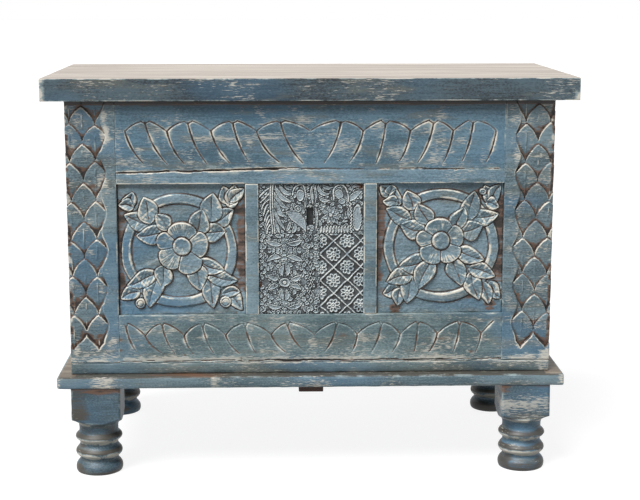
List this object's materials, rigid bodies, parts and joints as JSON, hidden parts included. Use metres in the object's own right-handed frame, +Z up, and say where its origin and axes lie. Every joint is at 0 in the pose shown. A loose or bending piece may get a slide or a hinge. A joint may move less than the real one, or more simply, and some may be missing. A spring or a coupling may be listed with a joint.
{
  "type": "damchiya chest",
  "caption": "Low carved wooden storage chest with an overhanging hinged lid, a framed front with flower panels and printing blocks, a stepped base and turned legs.",
  "frame": {"origin": "on the floor, under the middle of the chest", "axes": "+X to the chest's right hand side as seen from the front, along its length, +Y to the back, where the hinges are, +Z up"},
  "size_m": [0.9, 0.46, 0.684],
  "materials": {
    "painted_frame_wood": "blue paint rubbed back to cream and brown at edges, matt",
    "painted_leg_wood": "blue paint rubbed back on the turned rings, matt",
    "carved_panel_wood": "blue paint with cream rubbed ridges and bare brown ground",
    "printing_block_wood": "dark blue-black wood with pale grey rubbed relief",
    "washed_lid_wood": "pale washed top with blue painted edges, slight satin",
    "bare_inner_wood": "bare brown wood, matt",
    "dark_batten_wood": "bare dark brown wood, matt",
    "hinge_iron": "black iron, slightly worn",
    "hinge_screw_steel": "dull steel",
    "wood_screw_steel": "dull steel"
  },
  "bodies": {
    "chest": {"back_board_left": "painted_frame_wood", "back_board_middle": "painted_frame_wood", "back_board_right": "painted_frame_wood", "back_bottom_rail": "painted_frame_wood", "back_top_rail": "painted_frame_wood", "base_batten": "dark_batten_wood", "base_batten_screws": "wood_screw_steel", "base_board_front": "painted_frame_wood", "base_board_middle": "painted_frame_wood", "base_board_rear": "painted_frame_wood", "base_screws": "wood_screw_steel", "corner_post_front_left": "painted_frame_wood", "corner_post_front_right": "painted_frame_wood", "corner_post_rear_left": "painted_frame_wood", "corner_post_rear_right": "painted_frame_wood", "flower_panel_left": "carved_panel_wood", "flower_panel_right": "carved_panel_wood", "front_bottom_rail": "painted_frame_wood", "front_field_rail": "painted_frame_wood", "front_lining_board": "bare_inner_wood", "front_muntin_left": "painted_frame_wood", "front_muntin_right": "painted_frame_wood", "front_top_rail": "painted_frame_wood", "hinge_body_leaf_left": "hinge_iron", "hinge_body_leaf_right": "hinge_iron", "hinge_body_screws": "hinge_screw_steel", "hinge_pin_left": "hinge_iron", "hinge_pin_right": "hinge_iron", "leg_front_left": "painted_leg_wood", "leg_front_right": "painted_leg_wood", "leg_rear_left": "painted_leg_wood", "leg_rear_right": "painted_leg_wood", "plinth_front": "painted_frame_wood", "plinth_left": "painted_frame_wood", "plinth_rear": "painted_frame_wood", "plinth_right": "painted_frame_wood", "printing_block_lower_left": "printing_block_wood", "printing_block_lower_right": "printing_block_wood", "printing_block_upper_left": "printing_block_wood", "printing_block_upper_right": "printing_block_wood", "side_board_lower_left": "painted_frame_wood", "side_board_lower_right": "painted_frame_wood", "side_board_upper_left": "painted_frame_wood", "side_board_upper_right": "painted_frame_wood", "side_bottom_rail_left": "painted_frame_wood", "side_bottom_rail_right": "painted_frame_wood", "side_top_rail_left": "painted_frame_wood", "side_top_rail_right": "painted_frame_wood"},
    "lid": {"hinge_lid_leaf_left": "hinge_iron", "hinge_lid_leaf_right": "hinge_iron", "hinge_lid_screws": "hinge_screw_steel", "lid_batten_left": "bare_inner_wood", "lid_batten_right": "bare_inner_wood", "lid_batten_screws": "wood_screw_steel", "lid_board_front": "washed_lid_wood", "lid_board_middle": "washed_lid_wood", "lid_board_rear": "washed_lid_wood"}
  },
  "joints": [
    {"name": "lid_hinge", "type": "hinge", "parent": "chest", "child": "lid", "pos_m": [0, 0.2135, 0.646], "axis": [-1, 0, 0], "range_deg": [0, 105]}
  ]
}
